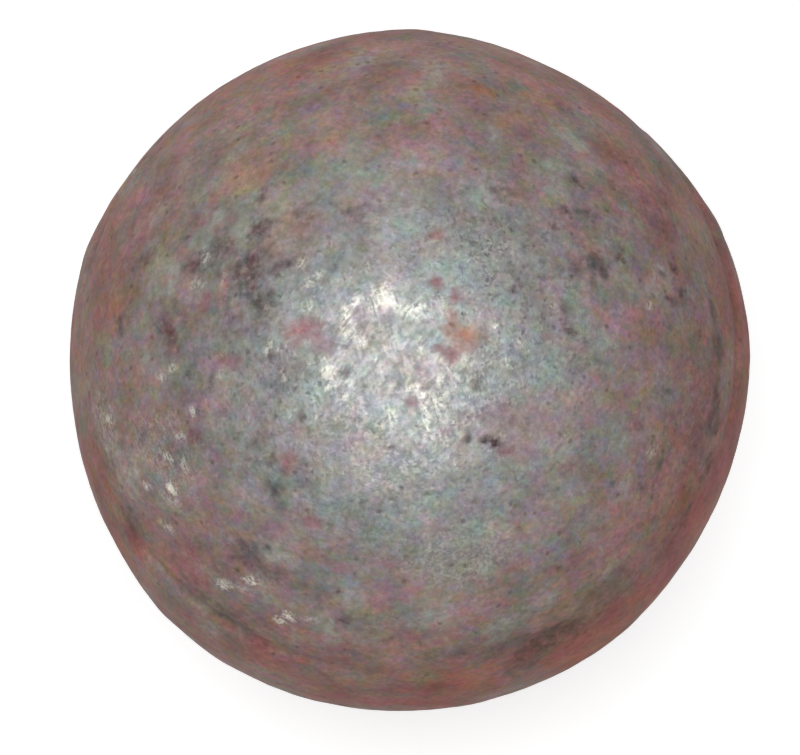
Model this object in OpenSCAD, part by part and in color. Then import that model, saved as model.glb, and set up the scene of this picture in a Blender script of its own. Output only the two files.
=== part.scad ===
// Forged steel ball, worn and rusted, in one piece.
//
// The ball is upset between two dies. That leaves two round caps and a belt around
// the middle, which stands a little proud and has a groove along each of its edges.
// Use has ground shallow faces on its flanks, and left a scar, dents, pits and gouges.
//
// +Z runs along the forging axis, and the origin is the centre of the ball.
// A place on the ball is [azimuth, latitude], in degrees.

/* [Forged ball] */

// Diameter of the two die caps
ball_d = 60; // [40:1:100]

// Height by which the belt stands proud of the caps
belt_rise = 0.25; // [0.05:0.05:0.5]

// Width of the belt, along the forging axis
belt_w = 19; // [8:0.5:30]

// Radius of the groove along each edge of the belt
groove_r = 0.8; // [0.3:0.05:1.2]

// Depth of the groove below the cap
groove_depth = 0.25; // [0.05:0.01:0.3]

/* [Worn faces] */

// Depth worn off the belt at the middle of each of the three main faces
face_depth = 0.7; // [0.1:0.05:1.2]

// Angle from the middle of a main face to its edge
face_spread = 32; // [20:1:50]

// Depth worn off at the middle of the broad face
broad_depth = 0.5; // [0.1:0.05:1]

// Angle from the middle of the broad face to its edge
broad_spread = 64; // [40:1:80]

// Depth worn off at the middle of the slight face
slight_depth = 0.4; // [0.1:0.05:1]

// Angle from the middle of the slight face to its edge
slight_spread = 45; // [20:1:60]

/* [Marks] */

// Width of the round scar beside the upper pole
scar_w = 4.4; // [2:0.1:8]

// Depth of the scar below its rim
scar_depth = 0.07; // [0.03:0.01:0.3]

// Width of a large dent
dent_w = 2; // [1:0.1:4]

// Depth of a large dent below its rim
dent_depth = 0.12; // [0.05:0.01:0.3]

// Width of a pit
pit_w = 0.8; // [0.5:0.05:1.5]

// Depth of a pit below its rim
pit_depth = 0.14; // [0.05:0.01:0.25]

// Length of a gouge
gouge_l = 3; // [2:0.1:6]

// Width of a gouge
gouge_w = 0.9; // [0.4:0.05:1.4]

// Depth of a gouge below its rim
gouge_depth = 0.12; // [0.05:0.01:0.25]

// Length of the rut beside the belt
rut_l = 9; // [5:0.5:14]

// Width of the rut
rut_w = 2.6; // [1:0.1:4]

// Depth of the rut below its rim
rut_depth = 0.2; // [0.05:0.01:0.4]

// Number of dents and pits scattered over the lower cap
under_marks = 24; // [0:1:60]

/* [Hidden] */

// Facets: the widest angle, and the shortest side where a circle is small
$fa = 2.5;
$fs = 0.25;

steel_colour = "#86766f";

cap_r = ball_d / 2;
belt_r = cap_r + belt_rise;
belt_edge_lat = asin(belt_w / ball_d);

// Worn faces: azimuth, latitude, depth, spread
FACES = [
    [330, -6, face_depth, face_spread],
    [190, -2, face_depth, face_spread],
    [59, 11, face_depth, face_spread],
    [303, -10, broad_depth, broad_spread],
    [122, 11, slight_depth, slight_spread],
];

// Marks on the upper cap: azimuth, latitude
SCAR = [233, 84];
DENTS = [
    [11, 56], [5, 40], [185, 48], [167, 53], [168, 64], [178, 65], [151, 64],
    [162, 44], [151, 76], [234, 50], [308, 35], [347, 46],
];
PITS = [
    [298, 65], [301, 62], [15, 85], [3, 73], [309, 72], [80, 66], [55, 66], [38, 52],
    [32, 59], [28, 55], [28, 63], [16, 51], [335, 44], [321, 42], [325, 35], [331, 35],
    [224, 53], [229, 33], [238, 40], [256, 38], [258, 31], [226, 64], [181, 35],
];

// Gouges and the rut: azimuth, latitude, turn from the meridian
GOUGES = [[356, 64, 62], [157, 48, 50], [236, 36, -12], [347, 24, 4], [239, 55, 10]];
RUT = [295, 19, 88];

// The scattered marks keep this far below the belt's lower edge, and turn by the
// golden angle from one to the next
UNDER_GAP = 8;
GOLDEN_ANGLE = 137.508;

function direction(at) =
    [cos(at[1]) * cos(at[0]), cos(at[1]) * sin(at[0]), sin(at[1])];

// A worn face is part of a larger sphere, whose centre lies this far past the origin
function face_pull(face) = face[2] / (1 - cos(face[3]));
function face_r(face) = belt_r - face[2] + face_pull(face);

// Distance from the origin to a worn face's sphere, along a unit vector
function face_reach(face, u) =
    let (c = u * direction(face), e = face_pull(face), r = face_r(face))
    sqrt(r * r - e * e * (1 - c * c)) - e * c;

// Distance from the origin to the ball's surface at a place
function forged_reach(at) = abs(at[1]) < belt_edge_lat ? belt_r : cap_r;
function surface_r(at) =
    min([forged_reach(at), for (face = FACES) face_reach(face, direction(at))]);

// Distance from the origin to the flat circle of a given width on the surface
function rim_r(at, w) = sqrt(pow(surface_r(at), 2) - w * w / 4);

// Radius of an arc from its chord and its depth
function arc_r(chord, depth) = (chord * chord / 4 + depth * depth) / (2 * depth);

// A place near the lower pole's side, for the scattered mark number i
function under_place(i) =
    let (
        z_top = -sin(belt_edge_lat + UNDER_GAP),
        share = (i + 0.5) / under_marks
    )
    [i * GOLDEN_ANGLE, asin(z_top - (1 + z_top) * share)];

module stand_at(at, r) {
    rotate([0, 90 - at[1], at[0]])
        translate([0, 0, r])
            children();
}

// Half of the forged ball's section: a cap and the belt, less the edge grooves
module forged_section() {
    groove_at = cap_r + groove_r - groove_depth;
    difference() {
        union() {
            circle(cap_r);
            intersection() {
                circle(belt_r);
                translate([-ball_d, -belt_w / 2])
                    square([2 * ball_d, belt_w]);
            }
        }
        translate([-2 * ball_d, -ball_d])
            square([2 * ball_d, 2 * ball_d]);
        for (side = [-1, 1])
            rotate(side * belt_edge_lat)
                translate([groove_at, 0])
                    circle(groove_r);
    }
}

module forged_ball() {
    rotate_extrude()
        forged_section();
}

module worn_face(face) {
    stand_at(face, -face_pull(face))
        sphere(face_r(face));
}

// Cutter for a round hollow
module hollow(at, w, depth) {
    r = arc_r(w, depth);
    stand_at(at, rim_r(at, w) - depth + r)
        sphere(r);
}

// Cutter for a long hollow: the rim of a wheel that runs along it
module gouge(at, l, w, depth) {
    wheel_r = arc_r(l, depth);
    rim_section_r = arc_r(w, depth);
    stand_at(at, rim_r(at, l) - depth + wheel_r)
        rotate([90, 0, at[2]])
            rotate_extrude()
                translate([wheel_r - rim_section_r, 0])
                    circle(rim_section_r);
}

module ball() {
    color(steel_colour)
        difference() {
            intersection() {
                forged_ball();
                intersection_for (face = FACES)
                    worn_face(face);
            }
            hollow(SCAR, scar_w, scar_depth);
            for (at = DENTS)
                hollow(at, dent_w, dent_depth);
            for (at = PITS)
                hollow(at, pit_w, pit_depth);
            for (at = GOUGES)
                gouge(at, gouge_l, gouge_w, gouge_depth);
            gouge(RUT, rut_l, rut_w, rut_depth);
            for (i = [0 : 1 : under_marks - 1])
                if (i % 3 == 0)
                    hollow(under_place(i), dent_w, dent_depth);
                else
                    hollow(under_place(i), pit_w, pit_depth);
        }
}

ball();
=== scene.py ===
"""Dresses the forged steel ball: a skin with its wear, pits and rust, on a pale floor in soft light."""

import math

import bpy
import numpy as np
from mathutils import Matrix, Vector, kdtree, noise
from mathutils.bvhtree import BVHTree


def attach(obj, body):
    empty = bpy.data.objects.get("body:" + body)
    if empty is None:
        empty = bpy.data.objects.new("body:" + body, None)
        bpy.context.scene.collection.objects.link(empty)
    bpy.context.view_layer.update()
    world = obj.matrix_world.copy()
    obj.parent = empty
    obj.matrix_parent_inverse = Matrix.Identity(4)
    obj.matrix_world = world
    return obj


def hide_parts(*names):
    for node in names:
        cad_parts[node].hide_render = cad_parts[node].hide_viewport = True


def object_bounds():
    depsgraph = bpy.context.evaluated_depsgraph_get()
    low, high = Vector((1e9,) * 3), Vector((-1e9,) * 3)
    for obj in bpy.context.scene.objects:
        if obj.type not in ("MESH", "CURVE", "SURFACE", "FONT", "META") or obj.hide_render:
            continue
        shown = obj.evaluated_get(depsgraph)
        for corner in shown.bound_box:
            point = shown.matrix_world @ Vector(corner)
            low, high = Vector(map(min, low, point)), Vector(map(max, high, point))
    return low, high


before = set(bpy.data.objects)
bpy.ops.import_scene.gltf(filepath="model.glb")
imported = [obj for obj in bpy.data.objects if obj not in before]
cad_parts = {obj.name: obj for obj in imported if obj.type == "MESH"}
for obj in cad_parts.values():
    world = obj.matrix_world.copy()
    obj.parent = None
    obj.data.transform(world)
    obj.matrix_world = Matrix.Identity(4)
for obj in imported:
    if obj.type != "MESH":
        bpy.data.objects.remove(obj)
cad_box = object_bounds()

MM = 0.001
BALL_R = max(cad_box[1])

# The photo's frame and the ball's place in it, in pixels
PHOTO_W = 800
PHOTO_H = 755
BALL_X = 406.9
BALL_Y = 371.2

CAMERA_ELEVATION = math.radians(77.6)
CAMERA_DISTANCE = 0.45
LENS_MM = 230
SENSOR_MM = 36


# -------- what the photo shows

# Marks seen in the photo, in its pixels: x, y, length, width, clockwise turn of the length
# from the photo's x axis in degrees, and strength. Each list is one kind of mark. These first
# ones are broad and faint: the scale is darker there.
DIM_PATCHES = [
    (692, 520, 84, 26, -62, 0.4),
    (204, 566, 58, 36, 40, 0.35),
    (328, 510, 84, 50, 10, 0.35),
    (606, 158, 50, 34, 20, 0.25),
    (245, 226, 60, 50, 0, 0.25),
    (655, 385, 50, 50, 0, 0.2),
    (500, 415, 60, 40, 0, 0.2),
    (145, 262, 60, 70, 0, 0.25),
    (405, 692, 140, 18, 0, 0.3),
    (372, 212, 56, 46, 0, 0.4),
    (300, 236, 50, 90, -20, 0.25),
    (180, 262, 50, 46, 0, 0.2),
    (222, 322, 60, 80, 0, 0.2),
    (572, 624, 100, 36, -32, 0.6),
    (420, 612, 60, 40, 0, 0.15),
    (250, 262, 100, 62, 60, 0.4),
    (170, 340, 80, 50, 40, 0.4),
    (212, 212, 130, 80, -45, 0.3),
    (145, 215, 110, 40, -55, 0.3),
    (250, 560, 70, 34, 35, 0.3),
    (585, 240, 90, 60, 60, 0.25),
    (700, 420, 110, 30, 85, 0.3),
    (560, 636, 120, 34, -30, 0.45),
    (600, 606, 80, 30, -38, 0.35),
]

DARK_MARKS = [
    # Upper left
    (262, 195, 8, 12, 0, 1.2),
    (195, 266, 36, 22, 0, 0.9),
    (222, 247, 24, 24, 0, 0.9),
    (252, 280, 22, 24, 0, 1.0),
    (144, 261, 18, 16, 0, 0.6),
    (120, 327, 10, 14, 20, 0.9),
    (262, 228, 24, 19, 0, 1.2),
    (254, 239, 24, 15, -20, 0.6),
    (250, 262, 38, 18, -15, 0.9),
    (258, 301, 29, 22, 30, 1.0),
    (242, 293, 19, 15, 0, 0.8),
    (270, 294, 10, 10, 0, 0.9),
    (284, 266, 41, 12, -18, 0.8),
    (296, 270, 17, 10, 0, 0.6),
    (300, 215, 19, 12, 60, 0.5),
    (224, 206, 22, 10, 20, 0.5),
    (186, 236, 34, 9, 105, 0.6),
    (161, 324, 17, 20, 0, 0.9),
    (173, 338, 34, 16, 42, 0.8),
    (334, 264, 38, 10, -65, 0.7),
    (236, 320, 36, 12, 0, 0.4),
    (256, 332, 26, 20, 20, 0.5),
    (228, 295, 12, 18, 0, 0.5),
    # Top
    (354, 215, 34, 12, 40, 0.6),
    (508, 190, 24, 11, 0, 0.6),
    (510, 109, 38, 10, 5, 0.4),
    (521, 132, 26, 20, 0, 0.4),
    (308, 212, 11, 18, 0, 0.5),
    # Upper right
    (671, 300, 12, 10, 0, 1.2),
    (491, 177, 7, 7, 0, 0.9),
    (492, 189, 7, 7, 0, 0.6),
    (552, 227, 8, 9, 0, 1.2),
    (512, 270, 8, 8, 0, 0.9),
    (513, 291, 6, 8, 0, 1.1),
    (674, 268, 8, 8, 0, 1.0),
    (661, 274, 9, 9, 0, 0.9),
    (620, 287, 8, 8, 0, 0.9),
    (497, 296, 7, 7, 0, 0.9),
    (570, 112, 22, 11, 50, 0.6),
    (577, 179, 12, 12, 0, 1.2),
    (567, 210, 11, 10, 0, 1.1),
    (585, 213, 18, 11, -20, 0.8),
    (630, 197, 72, 16, 8, 0.45),
    (645, 200, 19, 10, 0, 0.6),
    (620, 247, 12, 11, 0, 0.7),
    (620, 258, 9, 9, 0, 1.3),
    (593, 265, 18, 16, 30, 1.0),
    (603, 273, 12, 10, 30, 1.3),
    (577, 269, 14, 11, 0, 0.7),
    (594, 283, 8, 20, 0, 0.6),
    (680, 292, 15, 12, 20, 1.1),
    (712, 268, 12, 28, -15, 0.4),
    (666, 204, 24, 15, 30, 0.5),
    (568, 308, 17, 18, 0, 0.6),
    # Right
    (714, 311, 6, 18, 0, 1.0),
    (660, 464, 8, 8, 0, 0.8),
    (638, 425, 8, 8, 0, 0.5),
    (613, 483, 7, 8, 0, 1.0),
    (641, 489, 9, 8, 0, 1.0),
    (687, 514, 6, 9, 0, 0.8),
    (668, 391, 9, 8, 0, 0.9),
    (572, 331, 28, 10, 22, 1.2),
    (700, 431, 12, 10, 10, 0.7),
    (714, 409, 24, 7, 75, 1.0),
    (716, 428, 16, 6, 85, 1.0),
    (718, 341, 32, 8, 90, 0.9),
    (710, 457, 10, 9, 0, 1.0),
    (708, 469, 8, 9, 0, 1.0),
    (685, 415, 41, 30, 0, 0.3),
    # Centre
    (485, 441, 9, 8, 0, 1.6),
    (469, 440, 6, 10, 0, 1.2),
    (479, 384, 14, 18, -30, 0.6),
    (345, 371, 9, 12, 0, 0.5),
    (363, 385, 10, 9, 0, 0.5),
    (371, 338, 10, 13, 0, 0.45),
    (300, 414, 9, 14, 0, 0.8),
    (308, 432, 9, 11, 0, 0.8),
    (386, 326, 36, 18, 0, 0.15),
    (494, 443, 9, 8, 20, 2.0),
    (503, 448, 14, 9, 20, 0.8),
    # Left
    (345, 484, 16, 20, 0, 0.4),
    (198, 412, 7, 12, 0, 1.2),
    (225, 412, 8, 10, 0, 1.2),
    (188, 377, 8, 8, 0, 1.0),
    (243, 473, 11, 13, 0, 0.9),
    (249, 459, 7, 7, 0, 1.0),
    (266, 486, 8, 11, 30, 1.0),
    (274, 495, 8, 10, 30, 0.7),
    (211, 381, 8, 24, 8, 0.7),
    (272, 358, 30, 6, 66, 1.0),
    (281, 368, 26, 5, 64, 1.0),
    (262, 444, 31, 18, 75, 0.55),
    (270, 457, 11, 22, 0, 0.7),
    (266, 484, 10, 18, 0, 0.7),
    (274, 491, 12, 19, 0, 0.5),
    (170, 420, 72, 25, 10, 0.25),
    (196, 436, 19, 18, 0, 0.6),
    (130, 521, 31, 18, 50, 0.6),
    # Lower left, above the groove along the belt
    (266, 547, 8, 8, 0, 1.2),
    (245, 552, 36, 18, 58, 0.65),
    (248, 564, 31, 12, 10, 0.6),
    (264, 573, 31, 15, 20, 0.7),
    (290, 577, 41, 20, 10, 0.5),
    (317, 590, 34, 18, 20, 0.35),
    # The groove itself, darkened as painted shade
    (192, 586, 30, 7, 44, 0.7),
    (222, 613, 62, 8, 40, 0.9),
    (252, 635, 34, 8, 32, 0.6),
    (205, 599, 22, 9, 42, 0.8),
    # Bottom
    (338, 590, 8, 7, 0, 1.2),
    (385, 641, 7, 7, 0, 1.0),
    (343, 621, 14, 7, 18, 1.1),
    (464, 653, 22, 10, 0, 0.7),
    (430, 656, 41, 9, 0, 0.4),
    (345, 655, 60, 9, 5, 0.3),
    # The dark band of the lower right: dark scale, with painted shade along the groove
    (520, 662, 31, 22, -20, 0.7),
    (512, 645, 48, 12, -8, 0.6),
    (548, 643, 56, 16, -28, 0.8),
    (560, 628, 60, 18, -22, 0.8),
    (590, 612, 41, 18, -38, 0.5),
    (605, 590, 55, 18, -30, 0.4),
    (631, 571, 38, 14, -18, 0.3),
]

RED_MARKS = [
    # Broad reddish patches
    (376, 198, 70, 36, 0, 0.3),
    (308, 208, 60, 30, 0, 0.3),
    (176, 178, 80, 40, -50, 0.3),
    (292, 252, 52, 30, 0, 0.3),
    (532, 426, 112, 54, 0, 0.45),
    (614, 532, 84, 46, -40, 0.4),
    (282, 364, 46, 26, 10, 0.3),
    (698, 428, 44, 90, 0, 0.4),
    (640, 590, 60, 20, -48, 0.3),
    (660, 380, 50, 50, 0, 0.25),
    (220, 335, 60, 40, 0, 0.2),
    # Upper left and top
    (206, 302, 10, 20, 0, 0.9),
    (226, 249, 16, 18, 0, 0.7),
    (172, 336, 32, 13, 45, 0.7),
    (143, 230, 12, 22, -20, 0.6),
    (130, 241, 26, 18, -50, 0.4),
    (232, 320, 26, 12, 0, 0.4),
    (152, 305, 30, 12, 0, 0.3),
    (355, 105, 34, 30, 0, 0.35),
    (321, 56, 26, 12, -15, 0.4),
    (420, 46, 50, 12, 0, 0.4),
    (436, 236, 14, 10, 0, 0.9),
    (180, 110, 60, 16, -42, 0.4),
    (100, 250, 70, 14, -72, 0.4),
    # Upper right
    (655, 214, 44, 26, 30, 0.8),
    (634, 240, 22, 12, 0, 0.4),
    (590, 250, 20, 12, 10, 0.6),
    (522, 130, 18, 18, 0, 0.4),
    (670, 190, 22, 14, 40, 0.5),
    (740, 300, 60, 8, 84, 0.8),
    (600, 150, 30, 10, 20, 0.4),
    # Right
    (700, 473, 12, 12, 0, 0.9),
    (722, 468, 96, 16, -76, 0.9),
    (732, 404, 60, 12, -84, 0.6),
    (568, 344, 44, 11, 14, 0.6),
    (530, 455, 34, 16, 0, 0.5),
    (570, 465, 26, 16, 0, 0.5),
    (691, 466, 14, 18, 0, 0.7),
    (530, 400, 14, 20, 0, 0.4),
    (645, 520, 26, 12, -30, 0.4),
    (625, 395, 30, 20, 0, 0.25),
    (560, 400, 40, 20, 0, 0.2),
    (700, 330, 14, 34, 0, 0.3),
    # Centre
    (302, 328, 32, 26, 20, 1.2),
    (296, 344, 16, 10, 0, 0.6),
    (322, 346, 36, 18, 0, 0.6),
    (437, 282, 14, 10, 30, 1.2),
    (457, 297, 14, 14, 60, 1.0),
    (453, 316, 12, 16, 0, 0.6),
    (451, 356, 16, 16, 20, 1.2),
    (440, 348, 13, 9, 0, 0.9),
    (412, 402, 12, 9, 40, 1.0),
    (495, 428, 24, 10, 30, 0.5),
    (505, 450, 18, 10, 10, 0.7),
    # Left
    (226, 360, 28, 18, 10, 0.9),
    (194, 436, 15, 14, 0, 0.8),
    (172, 447, 18, 10, -20, 0.5),
    (298, 431, 20, 12, -20, 0.6),
    (286, 460, 20, 26, 0, 0.9),
    (240, 515, 22, 18, 0, 0.4),
    # Lower left
    (186, 556, 30, 26, 30, 0.7),
    (200, 582, 30, 13, 42, 0.7),
    (258, 646, 34, 12, 15, 1.0),
    (275, 661, 40, 12, 20, 0.6),
    (190, 616, 26, 12, 42, 0.5),
    (135, 545, 30, 10, 52, 0.8),
    (280, 570, 26, 14, 0, 0.4),
    # Bottom
    (311, 522, 22, 13, 10, 0.8),
    (340, 568, 28, 11, 20, 0.4),
    (435, 532, 24, 18, 0, 0.5),
    (376, 600, 18, 14, 0, 0.5),
    (480, 640, 14, 10, 0, 0.8),
    (335, 662, 34, 14, 10, 0.5),
    (395, 686, 40, 12, 0, 0.6),
    (425, 692, 18, 9, 0, 0.8),
    (458, 672, 24, 14, -10, 0.4),
    (400, 702, 160, 7, 0, 0.6),
    (300, 678, 30, 10, 20, 0.4),
    # Lower right
    (672, 563, 76, 18, -52, 1.0),
    (616, 628, 70, 16, -40, 0.5),
    (551, 571, 20, 14, 30, 0.7),
    (512, 570, 22, 9, 0, 0.5),
    (580, 643, 34, 14, -35, 1.0),
    (612, 615, 26, 12, -44, 0.9),
    (556, 657, 30, 9, -25, 0.6),
    (645, 582, 50, 16, -50, 0.6),
    (670, 556, 30, 14, -56, 0.6),
    (702, 512, 50, 16, -64, 1.0),
    (635, 515, 30, 12, -30, 0.3),
    (520, 660, 24, 14, -20, 0.6),
]

ORANGE_MARKS = [
    # Broad warm patches
    (604, 640, 70, 22, -38, 0.4),
    (280, 238, 56, 32, -30, 0.35),
    (252, 170, 62, 38, -45, 0.45),
    # Orange spots and streaks
    (223, 285, 10, 30, 0, 0.8),
    (465, 336, 34, 22, 20, 1.1),
    (468, 347, 18, 12, 0, 0.9),
    (262, 174, 24, 34, 0, 0.5),
    (155, 206, 30, 14, -30, 0.25),
    (124, 296, 22, 22, 0, 0.35),
    (484, 90, 26, 10, 5, 1.0),
    (402, 92, 34, 22, 0, 0.25),
    (618, 152, 44, 13, 18, 0.4),
    (645, 170, 24, 12, 40, 0.35),
    (690, 225, 26, 20, 30, 0.4),
    (600, 311, 26, 13, 25, 0.35),
    (672, 438, 50, 8, 28, 0.6),
    (746, 345, 100, 7, 90, 0.4),
    (702, 520, 60, 12, -62, 0.4),
    (636, 601, 24, 12, -46, 0.5),
    (313, 554, 28, 22, 20, 0.65),
    (133, 540, 30, 8, 56, 0.4),
    (575, 645, 26, 9, -35, 0.4),
]

OLIVE_MARKS = [
    # Broad greenish patches
    (440, 84, 56, 26, 0, 0.35),
    (262, 190, 130, 90, -30, 0.4),
    (335, 160, 90, 70, 0, 0.3),
    (160, 262, 90, 60, -50, 0.3),
    (225, 146, 80, 30, -40, 0.2),
    # Greenish spots
    (160, 257, 34, 12, -45, 1.1),
    (285, 188, 22, 30, 0, 0.5),
    (245, 128, 20, 10, 0, 0.5),
    (285, 143, 24, 15, 0, 0.8),
    (300, 140, 18, 10, 0, 0.5),
    (290, 110, 20, 16, 0, 0.4),
    (295, 235, 40, 16, 0, 0.4),
    (320, 195, 30, 14, -20, 0.4),
    (600, 206, 18, 10, 0, 0.6),
    (541, 251, 18, 10, 0, 0.6),
    (707, 252, 16, 24, -20, 0.5),
    (540, 95, 30, 12, 20, 0.4),
    (660, 338, 20, 14, 0, 0.5),
    (703, 352, 22, 20, 0, 0.5),
    (720, 492, 16, 24, 20, 0.6),
    (574, 602, 24, 16, -10, 0.7),
    (580, 612, 60, 26, -34, 0.6),
    (545, 650, 60, 16, -26, 0.5),
    (682, 545, 12, 16, 35, 0.3),
    (202, 602, 20, 9, 30, 0.9),
    (220, 611, 26, 8, 32, 1.0),
    (274, 645, 22, 9, 20, 0.7),
    (120, 515, 14, 14, 0, 0.5),
    (165, 596, 24, 8, 45, 0.5),
    (90, 345, 14, 20, 0, 0.4),
    (430, 677, 30, 12, 0, 0.4),
    (325, 470, 22, 8, 10, 0.6),
    (380, 426, 9, 20, 0, 0.7),
    (368, 266, 7, 22, 0, 0.8),
    (362, 250, 22, 9, 0, 0.6),
]

TEAL_MARKS = [
    # Broad bluish patches
    (200, 478, 62, 42, -20, 0.25),
    (90, 375, 24, 80, 0, 0.35),
    (408, 48, 90, 24, 0, 0.35),
    (466, 560, 80, 70, 0, 0.3),
    (500, 255, 60, 40, 0, 0.5),
    (530, 215, 50, 40, 0, 0.45),
    # Upper left
    (201, 243, 26, 22, -30, 1.3),
    (174, 277, 14, 30, 0, 1.3),
    (217, 263, 28, 15, 0, 1.0),
    (198, 290, 20, 20, 0, 1.0),
    (240, 232, 28, 24, 60, 1.2),
    (218, 217, 13, 20, 0, 1.1),
    (155, 276, 20, 36, 10, 0.7),
    (155, 216, 26, 18, 0, 0.7),
    (238, 150, 24, 14, 0, 0.8),
    (193, 167, 30, 30, 0, 0.6),
    (213, 185, 26, 14, 0, 0.6),
    (272, 243, 28, 24, 0, 0.5),
    (285, 298, 30, 26, -20, 0.8),
    (305, 305, 14, 14, 0, 0.8),
    (150, 360, 44, 36, 0, 0.7),
    (163, 378, 14, 10, 0, 0.8),
    (280, 325, 14, 24, 0, 0.4),
    # Top
    (435, 68, 26, 24, 0, 0.8),
    (358, 62, 22, 16, 0, 0.6),
    (343, 166, 44, 24, 0, 0.6),
    (380, 166, 34, 20, 0, 0.5),
    (420, 200, 60, 44, 0, 0.5),
    (490, 205, 60, 40, 0, 0.5),
    (494, 136, 12, 20, 0, 0.7),
    (420, 215, 40, 30, 0, 0.4),
    (475, 235, 50, 30, 0, 0.4),
    (370, 225, 40, 20, 0, 0.3),
    # Upper right
    (575, 141, 16, 26, -30, 0.9),
    (557, 165, 18, 14, 0, 0.6),
    (594, 171, 22, 20, 0, 0.4),
    (560, 195, 26, 18, 0, 0.5),
    (614, 280, 40, 16, 0, 0.4),
    (660, 272, 16, 18, 0, 0.7),
    (655, 290, 22, 24, 0, 0.7),
    (690, 292, 8, 16, -10, 0.9),
    (538, 235, 30, 16, 0, 0.4),
    (520, 220, 34, 24, 0, 0.4),
    # Right
    (580, 352, 130, 26, -4, 0.45),
    (602, 346, 44, 22, 0, 0.8),
    (528, 372, 22, 24, 0, 0.6),
    (612, 420, 30, 22, 0, 0.7),
    (662, 400, 24, 22, 0, 0.5),
    (620, 446, 24, 18, 0, 0.7),
    (546, 462, 26, 12, 0, 0.7),
    (620, 490, 16, 22, 0, 0.8),
    (590, 520, 34, 16, 0, 0.7),
    (545, 490, 24, 20, 0, 0.5),
    (560, 385, 30, 20, 0, 0.4),
    (590, 405, 26, 16, 0, 0.4),
    # Below
    (505, 626, 28, 28, 0, 0.9),
    (545, 604, 30, 13, -15, 0.8),
    (526, 616, 12, 10, 0, 0.8),
    (448, 562, 50, 40, 0, 0.6),
    (472, 541, 30, 14, 0, 0.45),
    (487, 560, 12, 26, 0, 0.8),
    (430, 612, 66, 30, 0, 0.8),
    (325, 626, 44, 24, 10, 0.8),
    (352, 600, 34, 20, 0, 0.4),
    (502, 480, 20, 20, 0, 0.4),
    (560, 480, 26, 16, 0, 0.5),
    (392, 507, 66, 14, 0, 0.5),
    (350, 525, 26, 12, 0, 0.4),
    (365, 640, 34, 16, 0, 0.5),
    (470, 600, 40, 24, 0, 0.4),
    (590, 540, 20, 12, 0, 0.5),
    # Left
    (124, 476, 36, 44, 0, 0.6),
    (220, 386, 22, 26, 0, 0.6),
    (238, 399, 28, 14, 0, 0.8),
    (300, 410, 30, 14, 0, 0.4),
    (268, 345, 12, 24, 70, 0.5),
    (215, 480, 44, 26, 0, 0.3),
    (107, 452, 7, 22, 0, 0.7),
    (271, 552, 20, 18, 0, 1.2),
    (205, 626, 30, 13, 35, 0.7),
    (165, 572, 36, 7, 43, 0.7),
    (160, 503, 30, 20, 0, 0.4),
    (233, 500, 22, 20, 0, 0.3),
]

# Pale marks: worn bare steel, with painted highlights and glints
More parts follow.
